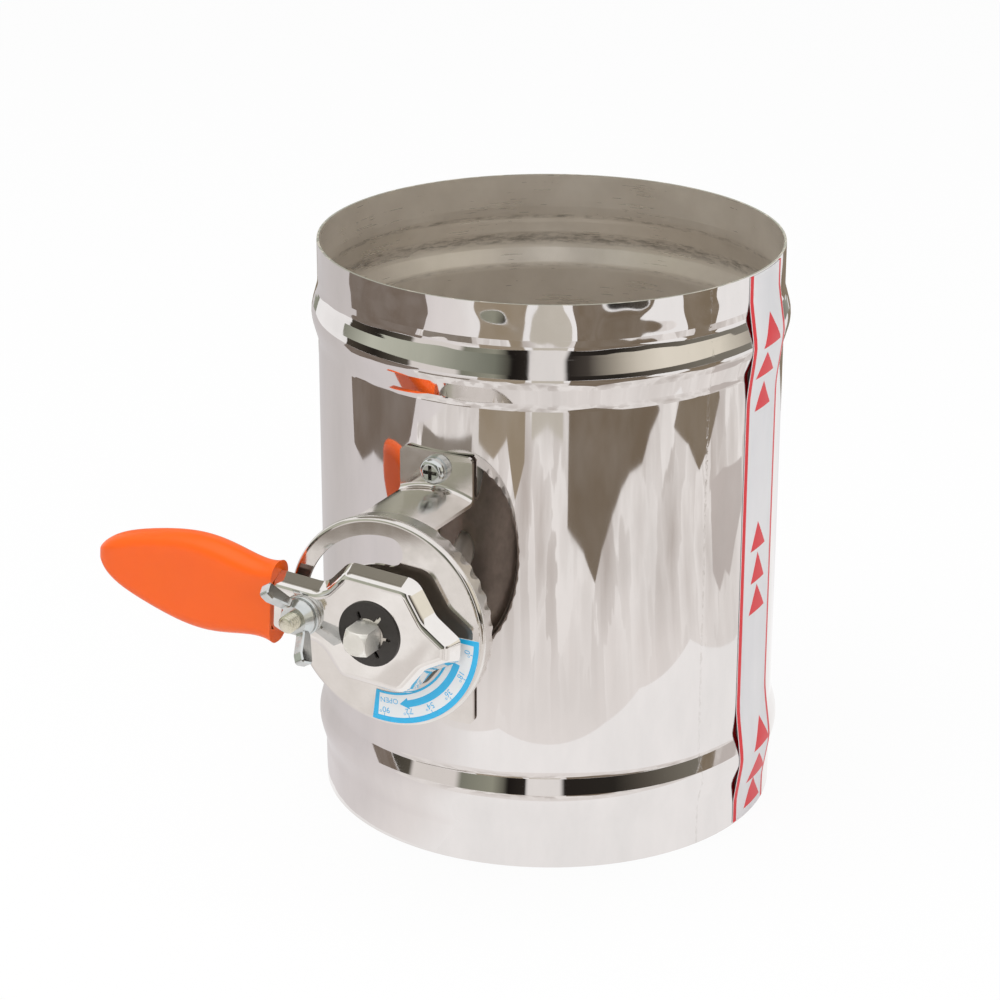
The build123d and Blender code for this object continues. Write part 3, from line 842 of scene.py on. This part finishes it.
# Star washers: thin spring steel push-on washers, blackened, that lock the lever and the shaft's rear end.
# Each is stamped and domed, with slits that bite the shaft.
material, tree = blank_material("black_spring_steel")
grit = noise(tree, object_place(tree), scale=500, detail=3, roughness=0.6)
principled(tree, Base_Color=mixed_colour(tree, grit, "393634", "494643"), Metallic=0.6,
           Roughness=ramp(tree, grit, 0.3, 0.7, 0.32, 0.45))
for name in ("shaft_clip", "rear_clip"):
    dress(name, material)


# Clamp: a zinc plated carriage bolt through the dish's slot, with its sleeve, spring washer and wing nut.
# The wing nut is cast and plated, and draws the lever against the dish.
for name in ("clamp_sleeve", "spring_washer", "wing_nut"):
    dress(name, zinc)

# The bolt's rolled thread shows past the nut, and its plating has the yellow tint of passivated zinc.
bolt_low, bolt_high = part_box("clamp_bolt")
bolt_x = (bolt_low.x + bolt_high.x) / 2
bolt_z = (bolt_low.z + bolt_high.z) / 2
bolt_head_radius = (bolt_high.x - bolt_low.x) / 2
bolt_tip = -bolt_low.y
bolt_back = -bolt_high.y
bolt_head_depth = 3.0 * mm
bolt_head_round = 1.6 * mm
bolt_radius = 3.0 * mm
bolt_point = 0.6 * mm
bolt_steps = 48
bolt_crease = 35
thread_root = 2.5 * mm
thread_sink = 0.05 * mm
thread_pitch = 1.0 * mm
thread_turns = 9
thread_steps = 36
thread_foot = 0.05
thread_crest = 0.42


def on_bolt(radius, reach):
    """A point on one side of the bolt, from its distance to the bolt's axis and its reach."""
    return Vector((bolt_x + radius, -reach, bolt_z))


bm = bmesh.new()
neck = bolt_back + bolt_head_depth
thread_start = bolt_tip - bolt_point - thread_turns * thread_pitch
outline = [(0, bolt_back), (bolt_head_radius - bolt_head_round, bolt_back),
           (bolt_head_radius, bolt_back + bolt_head_round), (bolt_head_radius, neck), (bolt_radius, neck),
           (bolt_radius, thread_start), (thread_root, thread_start), (thread_root, bolt_tip - bolt_point / 2),
           (thread_root - bolt_point, bolt_tip), (0, bolt_tip)]
line = [bm.verts.new(on_bolt(radius, reach)) for radius, reach in outline]
edges = [bm.edges.new(pair) for pair in zip(line, line[1:])]
bmesh.ops.spin(bm, geom=[*line, *edges], cent=on_bolt(0, 0), axis=(0, 1, 0), angle=2 * pi, steps=bolt_steps,
               use_merge=True)
bmesh.ops.remove_doubles(bm, verts=bm.verts, dist=merge_distance)
ridge = [(thread_root - thread_sink, thread_foot), (bolt_radius, thread_crest),
         (bolt_radius, 1 - thread_crest), (thread_root - thread_sink, 1 - thread_foot)]
crest = bm.faces.new([bm.verts.new(on_bolt(radius, thread_start + share * thread_pitch))
                      for radius, share in ridge])
bmesh.ops.spin(bm, geom=[crest], cent=on_bolt(0, 0), axis=(0, 1, 0), angle=2 * pi * thread_turns,
               dvec=(0, -thread_pitch / thread_steps, 0), steps=thread_turns * thread_steps)
bmesh.ops.recalc_face_normals(bm, faces=bm.faces)
threaded_bolt = put("threaded_bolt", bm)
shade_smooth(threaded_bolt, bolt_crease)
threaded_bolt.data.materials.append(steel_material("yellow_zinc", smooth=0.24, hazy=0.06, swell=0.1,
                                                   bright="E6E2D2", dim="DED9C6"))
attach(threaded_bolt, "handle")
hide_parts("clamp_bolt")
